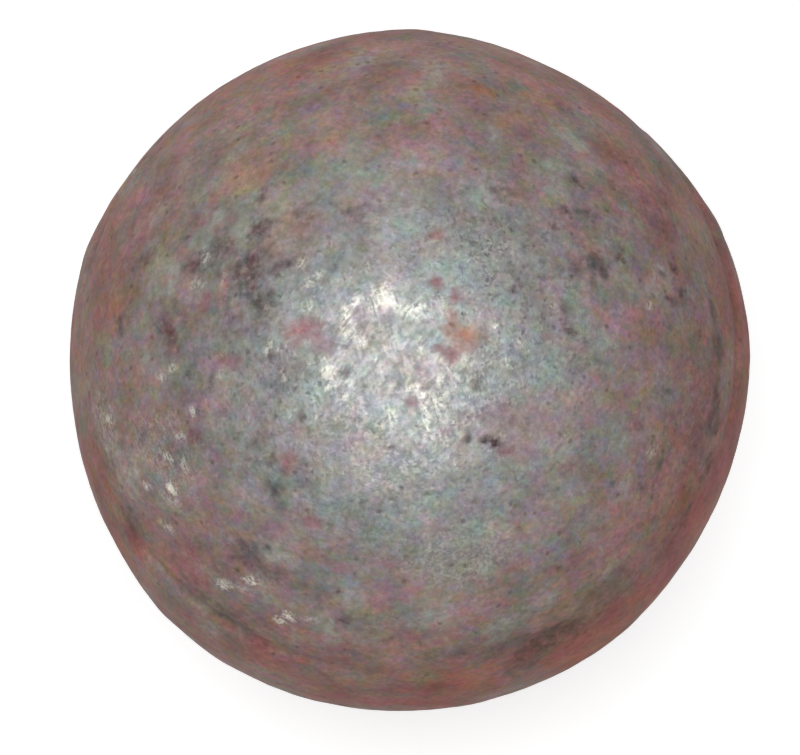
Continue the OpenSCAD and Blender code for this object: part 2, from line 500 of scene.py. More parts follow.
PALE_MARKS = [
    # Broad worn patches; those near the middle are partly painted highlight
    (404, 478, 68, 38, 0, 0.25),
    (164, 452, 60, 72, 0, 0.25),
    (460, 556, 104, 60, 0, 0.4),
    (104, 424, 20, 50, 0, 0.3),
    (380, 540, 44, 40, 0, 0.2),
    (492, 252, 60, 44, 0, 0.35),
    (460, 380, 44, 40, 0, 0.3),
    (382, 338, 40, 30, 0, 0.3),
    (580, 340, 50, 30, 0, 0.15),
    # The bright C at the centre, bare steel with a painted highlight on it, and the strokes around it
    (353, 303, 28, 8, -35, 1.0),
    (346, 321, 24, 9, 95, 1.0),
    (354, 331, 12, 20, -20, 1.0),
    (361, 343, 9, 16, 0, 1.0),
    (372, 302, 14, 14, 0, 0.9),
    (381, 296, 22, 15, 20, 1.2),
    (388, 287, 14, 8, 0, 0.6),
    (396, 303, 20, 11, 35, 0.8),
    (410, 311, 26, 12, 25, 0.8),
    (422, 308, 12, 16, 0, 0.8),
    (420, 345, 8, 18, 0, 0.5),
    (368, 266, 6, 18, 0, 0.6),
    (308, 305, 12, 12, 0, 0.4),
    (326, 372, 9, 26, -10, 1.0),
    (334, 364, 8, 14, 0, 0.7),
    (342, 399, 15, 8, -30, 0.9),
    (350, 383, 22, 7, 10, 0.5),
    (378, 366, 6, 24, -15, 0.5),
    (395, 389, 30, 6, 28, 0.8),
    (418, 386, 26, 6, -14, 0.8),
    (440, 380, 8, 8, 0, 0.9),
    (432, 399, 28, 24, 0, 0.9),
    (427, 420, 34, 7, 76, 1.0),
    (393, 418, 6, 22, 0, 0.7),
    (380, 426, 8, 18, 0, 0.5),
    (443, 438, 14, 9, 20, 0.7),
    (404, 467, 8, 12, 0, 0.7),
    (482, 376, 18, 10, 60, 0.4),
    (440, 415, 24, 18, 30, 0.5),
    # Painted glints of the top and the right
    (650, 306, 5, 7, 0, 1.0),
    (489, 248, 8, 8, 0, 0.8),
    (496, 326, 6, 9, 0, 1.0),
    (505, 362, 9, 11, 0, 0.7),
    (505, 243, 8, 10, 0, 0.7),
    (557, 313, 22, 5, 68, 0.65),
    (652, 452, 9, 14, 20, 0.5),
    # Painted glints of the left
    (173, 368, 5, 9, 0, 1.0),
    (161, 377, 6, 7, 0, 0.9),
    (221, 374, 8, 6, -20, 0.9),
    (302, 262, 8, 13, 0, 0.9),
    (318, 276, 7, 13, 20, 0.9),
    (306, 284, 10, 9, 0, 0.8),
    (268, 346, 5, 18, 0, 1.4),
    (278, 352, 5, 14, 0, 0.9),
    (223, 277, 7, 14, 0, 0.6),
    (196, 284, 16, 9, 10, 0.5),
    (193, 411, 6, 9, 0, 2.0),
    (181, 437, 7, 9, 0, 1.3),
    (168, 457, 9, 8, 0, 1.1),
    (184, 464, 6, 12, 15, 1.3),
    (171, 488, 8, 13, -8, 2.3),
    (170, 500, 16, 12, 0, 0.5),
    (167, 527, 12, 8, 0, 0.5),
    (109, 421, 6, 9, 0, 1.3),
    (147, 486, 6, 6, 0, 1.3),
    (284, 375, 6, 15, 0, 1.0),
    (205, 255, 7, 14, -30, 0.9),
    # Painted glints of the lower left
    (312, 620, 12, 6, 30, 0.6),
    (223, 585, 14, 8, 35, 1.3),
    (251, 580, 11, 9, -20, 1.3),
    (240, 588, 20, 8, 0, 0.4),
    (280, 621, 8, 7, 0, 1.5),
    (288, 616, 8, 9, 0, 1.7),
]

# Where the scale is worn through to steel, so that it shines, its colour lightened partly as a
# painted highlight: x, y, how far it reaches on the ball in degrees, and strength
WEAR_AND_HIGHLIGHT_ZONES = [
    # This broadest zone lies around the shine: wear, and a painted highlight as well
    (396, 364, 66, 1.0),
    (250, 590, 18, 0.4),
    (178, 480, 14, 0.4),
    (200, 240, 14, 0.3),
]

# Where heavy rust covers the scale, written the same way
STAIN_ZONES = [
    (600, 640, 28, 1.0),
    (680, 540, 22, 0.9),
    (735, 440, 20, 1.0),
    (735, 300, 14, 0.5),
    (560, 665, 14, 0.7),
    (440, 695, 22, 0.7),
    (300, 670, 16, 0.3),
    (320, 60, 20, 0.4),
    (104, 304, 10, 0.6),
]

# Where the scale has flaked, its hollows darkened as painted shade and its crests lightened as a
# painted highlight, written the same way
FLAKED_ZONES = [
    (242, 262, 15, 0.7),
    (172, 335, 8, 0.6),
    (600, 265, 12, 0.5),
    (274, 400, 9, 0.5),
    (272, 455, 10, 0.4),
    (258, 562, 10, 0.8),
    (165, 450, 9, 0.5),
    (695, 440, 10, 0.5),
    (500, 188, 8, 0.4),
    (575, 175, 7, 0.5),
]


# -------- camera

def add_object(name, data):
    made = bpy.data.objects.new(name, data)
    bpy.context.scene.collection.objects.link(made)
    return made


def camera_axes():
    """The camera's right, up and back directions."""
    back = Vector((0, -math.cos(CAMERA_ELEVATION), math.sin(CAMERA_ELEVATION)))
    right = Vector((1, 0, 0))
    return right, back.cross(right), back


def camera_place():
    """Where the camera stands, so that the ball falls where it does in the photo."""
    right, up, back = camera_axes()
    metres_per_pixel = CAMERA_DISTANCE * SENSOR_MM / LENS_MM / PHOTO_W
    aside = (BALL_X - PHOTO_W / 2) * metres_per_pixel
    above = (PHOTO_H / 2 - BALL_Y) * metres_per_pixel
    return back * CAMERA_DISTANCE - right * aside - up * above


def add_camera():
    right, up, back = camera_axes()
    data = bpy.data.cameras.new("camera")
    data.lens = LENS_MM
    data.sensor_width = SENSOR_MM
    data.clip_start = 0.01
    camera = add_object("camera", data)
    turn = Matrix((right, up, back)).transposed().to_4x4()
    camera.matrix_world = Matrix.Translation(camera_place()) @ turn
    bpy.context.scene.camera = camera


class PhotoView:
    """Finds the place on the ball that a pixel of the photo shows."""

    def __init__(self, tree):
        self.tree = tree
        self.place = camera_place()
        self.axes = camera_axes()
        self.pixels_per_unit = LENS_MM / SENSOR_MM * PHOTO_W

    def direction(self, x, y):
        """Unit vector from the ball's centre to what the pixel shows."""
        right, up, back = self.axes
        ray = right * (x - PHOTO_W / 2) + up * (PHOTO_H / 2 - y) - back * self.pixels_per_unit
        hit = self.tree.ray_cast(self.place, ray.normalized())[0]
        # Past the outline it is the place beside the ball
        if hit is None:
            hit = self.place + ray.normalized() * CAMERA_DISTANCE
        return hit.normalized()

    def oval(self, x, y, length, width, turn):
        """A mark's middle on the ball and its two half axes, as steps on the unit ball."""
        angle = math.radians(turn)
        halves = []
        for half, a in ((length / 2, angle), (width / 2, angle + math.pi / 2)):
            one = self.direction(x + half * math.cos(a), y + half * math.sin(a))
            other = self.direction(x - half * math.cos(a), y - half * math.sin(a))
            halves.append((one - other) / 2)
        return self.direction(x, y), halves[0], halves[1]


# -------- the skin's mesh

# Quads along each side of the cube that is blown up into the ball
SIDE_QUADS = 128
# Right, up and outward axis of each of the cube's sides
SIDES = [
    ((0, 1, 0), (0, 0, 1), (1, 0, 0)),
    ((0, -1, 0), (0, 0, 1), (-1, 0, 0)),
    ((-1, 0, 0), (0, 0, 1), (0, 1, 0)),
    ((1, 0, 0), (0, 0, 1), (0, -1, 0)),
    ((1, 0, 0), (0, 1, 0), (0, 0, 1)),
    ((-1, 0, 0), (0, 1, 0), (0, 0, -1)),
]
UV_COLUMNS = 3
UV_ROWS = 2
UV_MARGIN = 0.012


def cube_ball():
    """Unit directions, quads and UV corners of a cube blown up into a ball."""
    n = SIDE_QUADS
    steps = np.arange(n + 1)
    across, upward = np.meshgrid(2 * steps - n, 2 * steps - n, indexing="ij")
    points, quads, corners = [], [], []
    for side, (right, up, out) in enumerate(SIDES):
        lattice = across[..., None] * np.array(right) + upward[..., None] * np.array(up)
        points.append((lattice + n * np.array(out)).reshape(-1, 3))
        index = np.arange((n + 1) ** 2).reshape(n + 1, n + 1) + side * (n + 1) ** 2
        ring = (index[:-1, :-1], index[1:, :-1], index[1:, 1:], index[:-1, 1:])
        quads.append(np.stack(ring, -1).reshape(-1, 4))
        share = UV_MARGIN + (1 - 2 * UV_MARGIN) * steps / n
        u, v = np.meshgrid(share, share, indexing="ij")
        u = (side % UV_COLUMNS + u) / UV_COLUMNS
        v = (side // UV_COLUMNS + v) / UV_ROWS
        uv = np.stack((u, v), -1)
        ring = (uv[:-1, :-1], uv[1:, :-1], uv[1:, 1:], uv[:-1, 1:])
        corners.append(np.stack(ring, -2).reshape(-1, 4, 2))
    shared, index = np.unique(np.concatenate(points), axis=0, return_inverse=True)
    quads = index.reshape(-1)[np.concatenate(quads)]
    bent = np.tan(shared / n * math.pi / 4)
    directions = bent / np.linalg.norm(bent, axis=1, keepdims=True)
    return directions, quads, np.concatenate(corners)


def smoothed(values, quads, times):
    """Vertex values, averaged a number of times with those along their edges."""
    start = np.concatenate([quads[:, a] for a in range(4)])
    end = np.concatenate([quads[:, (a + 1) % 4] for a in range(4)])
    count = 1 + np.bincount(start, minlength=len(values)) * 2
    for _ in range(times):
        total = values + np.bincount(start, values[end], len(values))
        total += np.bincount(end, values[start], len(values))
        values = total / count
    return values


# -------- relief and wear

SEED = 11
# The kinds of mark, each of which has a strength at every vertex
CHANNELS = ("dim", "dark", "red", "orange", "olive", "teal", "pale", "pit")

# Millimetres that each kind of mark sinks below the surface at its middle
DIM_SINK = 0.03
DARK_SINK = 0.07
RED_SINK = 0.015
ORANGE_SINK = 0.01
OLIVE_SINK = 0.0
TEAL_SINK = 0.0
PALE_SINK = -0.02
# How far past its written oval a mark reaches, because it fades out
FADE = 1.4
# A zone's height before it is cut off at 1: it is at full strength over a fifth of its reach
ZONE_HEIGHT = 1.25

# Rust pits: how many, how far most reach from their middle, and depth as a share of that
PIT_COUNT = 2200
PIT_REACH_MM = 0.62
PIT_DEPTH_SHARE = 0.08
# The photo shows the ball down to this share of the radius towards the camera, where pits
# are smaller by the share that follows
SEEN_FROM = 0.2
SEEN_PIT_SHARE = 0.55

# Size of the clusters in which pits and strewn marks crowd
PIT_CLUSTER_SIZE = 8
MARK_CLUSTER_SIZE = 12
# How ragged the edge of a mark is, and over how many millimetres
TORN_SHARE = 0.5
TORN_SIZE = 1.4

# Where rust on the belt thins out, as a share of the radius from its middle, and its weight
BELT_RUST_REACH = 0.42
BELT_RUST = 0.9
BELT_RUST_SIZE = 14

# Marks strewn over what the photo doesn't show: kind, how many fall on the whole ball,
# middle length in millimetres, and how far they sink
SCATTER = [
    ("dark", 420, 1.5, DARK_SINK),
    ("red", 240, 1.7, RED_SINK),
    ("orange", 90, 1.6, ORANGE_SINK),
    ("olive", 80, 1.8, OLIVE_SINK),
    ("teal", 200, 2.2, TEAL_SINK),
    # The pale marks here are worn steel and painted glints
    ("pale", 260, 0.9, PALE_SINK),
]
# Rubbed patches there: size in millimetres and how far the scale is worn through
RUBBED_SIZE = 7
RUBBED = 0.55
# Size of the worn patches around the lower pole
POLE_WORN_SIZE = 9

# Broad rise and fall, as millimetres over which the surface rises and falls, and height
LUMPS = [(11, 0.05), (4, 0.03), (1.8, 0.016), (1.0, 0.01)]
# Flaked scale all over: how far its steps lie apart, and their height
FLAKE_SIZE = 3.4
FLAKE_STEP = 0.014
# The same where scale has flaked off, and the size of such patches out of the photo's view
FLAKED_SIZE = 3.0
FLAKED_STEP = 0.03
FLAKED_PATCH_SIZE = 10


def fractal(directions, size_mm, octaves, seed):
    """Smooth noise over the ball, about -1 to 1, whose largest lumps measure size_mm."""
    scale = BALL_R / MM / size_mm
    offset = Vector((seed * 17.3, seed * 9.1, seed * 5.7))
    return np.array([
        noise.fractal(Vector(d) * scale + offset, 1.0, 2.0, octaves) for d in directions
    ])


class Surface:
    """The ball's relief, in millimetres, and the strength of each kind of mark."""

    def __init__(self, directions):
        self.directions = directions
        self.relief = np.zeros(len(directions))
        self.marks = {name: np.zeros(len(directions)) for name in CHANNELS}
        self.worn = np.zeros(len(directions))
        self.stain = np.zeros(len(directions))
        self.flake = np.zeros(len(directions))
        self.torn = 1 + TORN_SHARE * fractal(directions, TORN_SIZE, 3, 7)
        self.near = kdtree.KDTree(len(directions))
        for i, d in enumerate(directions):
            self.near.insert(Vector(d), i)
        self.near.balance()

    def footprint(self, centre, half_l, half_w):
        """Vertices in a ragged oval around a direction, and 0 at its middle to 1 at its edge."""
        reach = max(half_l.length, half_w.length)
        found = [i for _, i, _ in self.near.find_range(centre, reach)]
        index = np.array(found, dtype=int)
        aside = self.directions[index] - np.array(centre)
        along = aside @ np.array(half_l) / half_l.length_squared
        across = aside @ np.array(half_w) / half_w.length_squared
        spread = np.sqrt(along ** 2 + across ** 2) * self.torn[index]
        inside = spread < 1
        return index[inside], spread[inside]

    def mark(self, index, spread, channel, strength, sink):
        self.relief[index] -= sink * strength * (1 - spread ** 2) ** 2
        values = self.marks[channel]
        values[index] = np.maximum(values[index], strength * (1 - spread ** 2))

    def add_photo_marks(self, view):
        """Puts each mark that the photo shows where it lies on the ball."""
        kinds = (
            (DIM_PATCHES, "dim", DIM_SINK),
            (DARK_MARKS, "dark", DARK_SINK),
            (RED_MARKS, "red", RED_SINK),
            (ORANGE_MARKS, "orange", ORANGE_SINK),
            (OLIVE_MARKS, "olive", OLIVE_SINK),
            (TEAL_MARKS, "teal", TEAL_SINK),
            (PALE_MARKS, "pale", PALE_SINK),
        )
        for marks, channel, sink in kinds:
            for *oval, strength in marks:
                middle, half_l, half_w = view.oval(*oval)
                index, spread = self.footprint(middle, half_l * FADE, half_w * FADE)
                self.mark(index, spread, channel, strength, sink)

    def add_pits(self, view):
        """Rust pits all over the ball, in loose clusters; smaller where the photo shows its own."""
        random = np.random.default_rng(SEED)
        places = random.normal(size=(PIT_COUNT, 3))
        places /= np.linalg.norm(places, axis=1, keepdims=True)
        reaches = PIT_REACH_MM * np.exp(random.normal(scale=0.4, size=PIT_COUNT))
        crowding = fractal(places, PIT_CLUSTER_SIZE, 2, 5)
        for place, reach, crowd in zip(places, reaches, crowding):
            if crowd < -0.1:
                continue
            centre = Vector(place)
            if centre.dot(view.axes[2]) > SEEN_FROM:
                reach *= SEEN_PIT_SHARE
            side = centre.orthogonal().normalized() * (reach * MM / BALL_R)
            index, spread = self.footprint(centre, side, centre.cross(side))
            self.mark(index, spread, "pit", min(1, reach), reach * PIT_DEPTH_SHARE)

    def add_scatter(self, view):
        """Marks like the photo's on the rest of the ball, crowded here and sparse there."""
        random = np.random.default_rng(SEED + 1)
        for kind, count, length, sink in SCATTER:
            places = random.normal(size=(count, 3))
            places /= np.linalg.norm(places, axis=1, keepdims=True)
            crowding = fractal(places, MARK_CLUSTER_SIZE, 2, 25)
            for place, crowd in zip(places, crowding):
                centre = Vector(place)
                half = length * np.exp(random.normal(scale=0.45)) / 2
                slim, turn, strength, luck = random.uniform(size=4)
                if centre.dot(view.axes[2]) > SEEN_FROM or crowd < luck - 0.7:
                    continue
                along = Matrix.Rotation(math.tau * turn, 3, centre) @ centre.orthogonal().normalized()
                along *= half * FADE * MM / BALL_R
                across = centre.cross(along) * (0.4 + 0.5 * slim)
                index, spread = self.footprint(centre, along, across)
                self.mark(index, spread, kind, 0.4 + 0.6 * strength, sink)

    def add_lumps(self):
        """Hammered swell and flaked scale over the whole ball."""
        for seed, (size, height) in enumerate(LUMPS):
            self.relief += height * fractal(self.directions, size, 2, seed)
        flakes = fractal(self.directions, FLAKE_SIZE, 2, 9)
        self.relief += FLAKE_STEP * np.tanh(flakes * 4)

    def hidden(self, view):
        """0 where the photo shows the ball, rising to 1 out of its view."""
        return np.clip((SEEN_FROM - self.directions @ np.array(view.axes[2])) * 5, 0, 1)

    def zoned(self, values, view, zones):
        """Values, raised around each zone's place to its strength, which fades with distance."""
        for x, y, reach, strength in zones:
            closeness = self.directions @ np.array(view.direction(x, y))
            angle = np.degrees(np.arccos(np.clip(closeness, -1, 1)))
            share = np.clip(ZONE_HEIGHT * (1 - angle / reach), 0, 1)
            values = np.maximum(values, strength * share)
        return values

    def add_flaking(self, view):
        """Places where the scale has flaked, with hollows below 0 and crests above."""
        patches = np.clip(2 * fractal(self.directions, FLAKED_PATCH_SIZE, 2, 21), 0, 1)
        flaked = self.zoned(self.hidden(view) * patches, view, FLAKED_ZONES)
        self.flake = flaked * np.tanh(3 * fractal(self.directions, FLAKED_SIZE, 3, 22))
        self.relief += FLAKED_STEP * self.flake

    def add_wear_and_highlight(self, view):
        """How far the scale is worn through, lightened as a painted highlight around the shine: there,
        below, and in patches.
        """
        rubbed = np.clip(1.6 * fractal(self.directions, RUBBED_SIZE, 3, 18) - 0.15, 0, 1)
        patches = 0.5 + 0.5 * fractal(self.directions, POLE_WORN_SIZE, 3, 12)
        under = np.clip(-self.directions[:, 2] * 1.6 - 0.6, 0, 1) * patches
        unseen = np.maximum(RUBBED * rubbed * self.hidden(view), under)
        self.worn = self.zoned(unseen, view, WEAR_AND_HIGHLIGHT_ZONES)

    def add_stain(self, view):
        """How heavily rust covers the scale: in the photo's red zones and in patches on the belt."""
        patches = np.clip(0.45 + 0.8 * fractal(self.directions, BELT_RUST_SIZE, 3, 16), 0, 1)
        belt = np.clip(1.3 - np.abs(self.directions[:, 2]) / BELT_RUST_REACH, 0, 1)
        self.stain = self.zoned(BELT_RUST * belt * patches, view, STAIN_ZONES)


def ball_tree():
    """Search tree of the CAD ball's surface."""
    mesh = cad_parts["ball"].data
    points = [v.co for v in mesh.vertices]
    return BVHTree.FromPolygons(points, [tuple(p.vertices) for p in mesh.polygons])


# Rounds of smoothing: of the solid's facets, and of the surface that hollows are measured from
FACET_SMOOTHING = 2
HOLLOW_SMOOTHING = 14


def solid_radius(tree, directions):
    """Distance from the centre to the CAD solid's surface in each direction."""
    centre = Vector((0, 0, 0))
    return np.array([tree.ray_cast(centre, Vector(d))[3] for d in directions])


def make_skin(tree, view):
    directions, quads, corners = cube_ball()
    surface = Surface(directions)
    surface.add_lumps()
    surface.add_pits(view)
    surface.add_photo_marks(view)
    surface.add_scatter(view)
    surface.add_flaking(view)
    surface.add_wear_and_highlight(view)
    surface.add_stain(view)
    radius = smoothed(solid_radius(tree, directions), quads, FACET_SMOOTHING)
    radius += surface.relief * MM
    height = (radius - smoothed(radius, quads, HOLLOW_SMOOTHING)) / MM
    mesh = bpy.data.meshes.new("ball_skin")
    mesh.from_pydata((directions * radius[:, None]).tolist(), [], quads.tolist())
    mesh.polygons.foreach_set("use_smooth", [True] * len(quads))
    layer = mesh.uv_layers.new(name="OFBake")
    layer.data.foreach_set("uv", corners.reshape(-1))
    fields = dict(surface.marks, worn=surface.worn, stain=surface.stain)
    fields.update(flake=surface.flake, height=height)
    for name, values in fields.items():
        attribute = mesh.attributes.new(name, "FLOAT", "POINT")
        attribute.data.foreach_set("value", values)
    mesh.update()
    return add_object("ball_skin", mesh)


# -------- materials

class Nodes:
    """Short calls for the shader nodes of one material."""

    def __init__(self, name):
        self.material = bpy.data.materials.new(name)
        self.material.use_nodes = True
        self.tree = self.material.node_tree
        self.tree.nodes.clear()

    def new(self, kind, **settings):
        node = self.tree.nodes.new(kind)
        for key, value in settings.items():
            setattr(node, key, value)
        return node

    def feed(self, socket, value):
        """Links a socket to another, or sets it to a plain value."""
        if isinstance(value, bpy.types.NodeSocket):
            self.tree.links.new(value, socket)
        else:
            socket.default_value = value

    def math(self, operation, a, b=0.0, c=0.0):
        node = self.new("ShaderNodeMath", operation=operation)
        for socket, value in zip(node.inputs, (a, b, c)):
            self.feed(socket, value)
        return node.outputs[0]

    def vector(self, operation, *values):
        node = self.new("ShaderNodeVectorMath", operation=operation)
        for socket, value in zip(node.inputs, values):
            self.feed(socket, value)
        return node.outputs[0]

    def ramp(self, value, low, high, to_low=0.0, to_high=1.0, kind="LINEAR"):
        """A value's place between two limits, held at them outside."""
        node = self.new("ShaderNodeMapRange", interpolation_type=kind)
        for socket, given in zip(node.inputs, (value, low, high, to_low, to_high)):
            self.feed(socket, given)
        return node.outputs[0]

    def mix(self, share, a, b, blend="MIX"):
        node = self.new("ShaderNodeMix", data_type="RGBA", blend_type=blend)
        self.feed(node.inputs["Factor"], share)
        self.feed(node.inputs[6], a)
        self.feed(node.inputs[7], b)
        return node.outputs[2]

    def scale(self, tone, factor):
        node = self.new("ShaderNodeVectorMath", operation="SCALE")
        self.feed(node.inputs[0], tone)
        self.feed(node.inputs["Scale"], factor)
        return node.outputs[0]

    def place(self, seed):
        """Place on the ball, moved so that no two patterns line up."""
        place = self.new("ShaderNodeTexCoord").outputs["Object"]
        return self.vector("ADD", place, (seed * 0.11, seed * 0.07, seed * 0.05))

    def noise_node(self, place, size_mm, detail, roughness=0.6):
        node = self.new("ShaderNodeTexNoise")
        self.feed(node.inputs["Vector"], place)
        node.inputs["Scale"].default_value = 1 / (size_mm * MM)
        node.inputs["Detail"].default_value = detail
        node.inputs["Roughness"].default_value = roughness
        return node

    def noise(self, size_mm, detail, roughness=0.6, seed=0):
        """Noise whose largest lumps measure size_mm, from about 0.3 to 0.7."""
        return self.noise_node(self.place(seed), size_mm, detail, roughness).outputs["Fac"]

    def streaks(self, size_mm, stretch, turn, seed=0):
        """Noise drawn out along one direction, at an angle from the x axis seen from above."""
        turned = self.new("ShaderNodeVectorRotate", rotation_type="Z_AXIS")
        self.feed(turned.inputs["Vector"], self.place(seed))
        turned.inputs["Angle"].default_value = -math.radians(turn)
        drawn = self.vector("MULTIPLY", turned.outputs[0], (1 / stretch, 1, 1))
        return self.noise_node(drawn, size_mm, 2).outputs["Fac"]

    def cells(self, size_mm, warp_mm, seed=0):
        """Small ragged cells: a random colour in each, its three parts, and how far its middle is."""
        place = self.place(seed)
        warp = self.noise_node(place, size_mm, 2).outputs["Color"]
        warped = self.vector("MULTIPLY_ADD", warp, (warp_mm * MM,) * 3, place)
        cell = self.new("ShaderNodeTexVoronoi")
        self.feed(cell.inputs["Vector"], warped)
        cell.inputs["Scale"].default_value = 1 / (size_mm * MM)
        split = self.new("ShaderNodeSeparateColor")
        self.feed(split.inputs[0], cell.outputs["Color"])
        return cell.outputs["Color"], split.outputs, cell.outputs["Distance"]

    def attribute(self, name):
        return self.new("ShaderNodeAttribute", attribute_name=name).outputs["Fac"]


def colour(red, green, blue):
    """A colour written as it looks on screen, 0 to 255, as the linear value that nodes take."""
    def linear(c):
        c /= 255
        return c / 12.92 if c <= 0.04045 else ((c + 0.055) / 1.055) ** 2.4
    return linear(red), linear(green), linear(blue), 1.0


SCALE_GREEN = colour(123, 142, 97)
SCALE_MAUVE = colour(154, 110, 149)
SCALE_BLUE = colour(117, 132, 145)
SCALE_ROSE = colour(164, 121, 95)
# What each of these multiplies the scale's colour by
COOL_PATCH = (0.87, 1.09, 1.05, 1.0)
WARM_PATCH = (1.14, 0.92, 0.93, 1.0)
RUST_FILM = (0.99, 0.765, 0.69, 1.0)
RUST_STAIN = (1.0, 0.64, 0.51, 1.0)
# Lighter worn steel, which also paints the highlight
WEAR_AND_HIGHLIGHT_LIFT = (1.46, 1.58, 1.63, 1.0)
# Colours of the marks and of bare steel
RUST_RED = colour(150, 80, 90)
RUST_ORANGE = colour(172, 109, 78)
# Dark scale, also the colour of the painted shade in sunk places
DARK_SCALE_AND_SHADE = colour(74, 59, 56)
DARK_CORE = colour(62, 44, 42)
DARK_GREEN = colour(84, 88, 86)
DARK_RUST = colour(92, 64, 58)
DARK_PURPLE = colour(97, 70, 74)
PALE_TEAL = colour(150, 158, 150)
OLIVE_SCALE = colour(134, 138, 104)
# Worn steel, also the colour of the painted glints
WORN_STEEL_AND_GLINT = colour(232, 230, 216)
# Plain steel, which also paints the highlight where the scale is worn
PLAIN_STEEL_AND_HIGHLIGHT = colour(156, 168, 167)

# Sizes of the patterns of colour, in millimetres
GREEN_MAUVE_SIZE = 1.5
BLUE_ROSE_SIZE = 1.3
WARMTH_SIZE = 5
RUST_SIZE = 6
GLOOM_SIZE = 1.8
RAGGED_SIZE = 0.9
GLINT_SIZE = 0.25
GRAIN_SIZE = 0.6
CLOUD_SIZE = 4.2
# Strength times raggedness from which a mark covers its full share
FULL_MARK = 1.3


def scale_tone(n, cells):
    """Mill scale, in which green turns to mauve, blue to rose, and cool to warm."""
    green_mauve = n.ramp(n.noise(GREEN_MAUVE_SIZE, 3, 0.6, seed=1), 0.32, 0.68, 0, 0.75)
    green_mauve = n.math("MULTIPLY_ADD", cells[0], 0.25, green_mauve)
    blue_rose = n.ramp(n.noise(BLUE_ROSE_SIZE, 3, 0.6, seed=2), 0.32, 0.68, 0, 0.75)
    blue_rose = n.math("MULTIPLY_ADD", cells[1], 0.25, blue_rose)
    tone = n.mix(0.5, n.mix(green_mauve, SCALE_GREEN, SCALE_MAUVE),
                 n.mix(blue_rose, SCALE_BLUE, SCALE_ROSE))
    warmth = n.ramp(n.noise(WARMTH_SIZE, 4, 0.6, seed=12), 0.34, 0.66)
    return n.mix(1.0, tone, n.mix(warmth, COOL_PATCH, WARM_PATCH), "MULTIPLY")


def rusted_tone(n, tone, worn):
    """The scale under its film of rust and its heavy rust, and worn through to steel, lighter there
    partly as a painted highlight.
    """
    broad = n.noise(RUST_SIZE, 4, 0.6, seed=3)
    film = n.math("MULTIPLY", n.ramp(worn, 0.7, 0.0), n.ramp(broad, 0.3, 0.6, 0.4, 1.0))
    tone = n.mix(film, tone, RUST_FILM, "MULTIPLY")
    stain = n.math("MULTIPLY", n.attribute("stain"), n.ramp(broad, 0.35, 0.6, 0.5, 1.2))
    tone = n.mix(n.ramp(stain, 0.0, 1.0), tone, RUST_STAIN, "MULTIPLY")
    # Lighter, then plain steel where worn: wear, and a painted highlight about the shine
    tone = n.mix(n.ramp(worn, 0.42, 0.92), tone, WEAR_AND_HIGHLIGHT_LIFT, "MULTIPLY")
    return n.mix(n.ramp(worn, 0.45, 1.0, 0.0, 0.55, "SMOOTHSTEP"), tone, PLAIN_STEEL_AND_HIGHLIGHT)


def gloom_tone(n):
    """Colour of the dark marks: greenish here, purple there, and brown where rust is heavy."""
    tint = n.ramp(n.noise(GLOOM_SIZE, 2, seed=16), 0.42, 0.58)
    gloom = n.mix(tint, DARK_GREEN, DARK_PURPLE)
    return n.mix(n.ramp(n.attribute("stain"), 0.2, 0.7, 0.0, 0.8), gloom, DARK_RUST)


def marked_tone(n, tone, strokes):
    """Paints shade into the flaked hollows and a highlight onto their crests, then each kind of mark
    with its ragged edge, then their cores, those of the pale marks as painted glints.
    """
    ragged = n.ramp(n.noise(RAGGED_SIZE, 3, 0.65, seed=4), 0.35, 0.65, 0.3, 1.7)
    solid = n.ramp(ragged, 0.3, 1.7, 0.75, 1.3)
    glint = n.math("MULTIPLY_ADD", n.noise(GLINT_SIZE, 1, seed=17), 0.6, strokes)
    stroked = n.ramp(glint, 0.7, 0.9, 0.1, 1.8)
    gloom = gloom_tone(n)
    flake = n.attribute("flake")
    # Painted shade in the flaked hollows and a painted highlight on their crests
    hollow_shade = n.math("MULTIPLY", n.ramp(flake, 0.0, -1.0), ragged)
    crest_highlight = n.math("MULTIPLY", n.ramp(flake, 0.0, 1.0), stroked)
    tone = n.mix(n.ramp(hollow_shade, 0.1, FULL_MARK, 0.0, 0.7), tone, gloom)
    tone = n.mix(n.ramp(crest_highlight, 0.0, FULL_MARK, 0.0, 0.6), tone, PALE_TEAL)
    for name, edge, share, paint in (
        ("dim", ragged, 0.85, gloom),
        ("teal", ragged, 0.65, PALE_TEAL),
        ("olive", ragged, 0.6, OLIVE_SCALE),
        ("red", solid, 0.75, RUST_RED),
        ("orange", solid, 0.75, RUST_ORANGE),
        ("pit", ragged, 0.12, DARK_SCALE_AND_SHADE),
        ("dark", ragged, 0.85, gloom),
        ("pale", stroked, 0.55, WORN_STEEL_AND_GLINT),
    ):
        strength = n.math("MULTIPLY", n.attribute(name), edge)
        tone = n.mix(n.ramp(strength, 0.0, FULL_MARK, 0.0, share), tone, paint)
    tone = n.mix(n.ramp(n.attribute("dark"), 0.9, 1.8, 0.0, 0.9), tone, DARK_CORE)
    # Solid cores of the strongest pale marks: painted glints
    return n.mix(n.ramp(n.attribute("pale"), 1.1, 2.0, 0.0, 0.85), tone, WORN_STEEL_AND_GLINT)


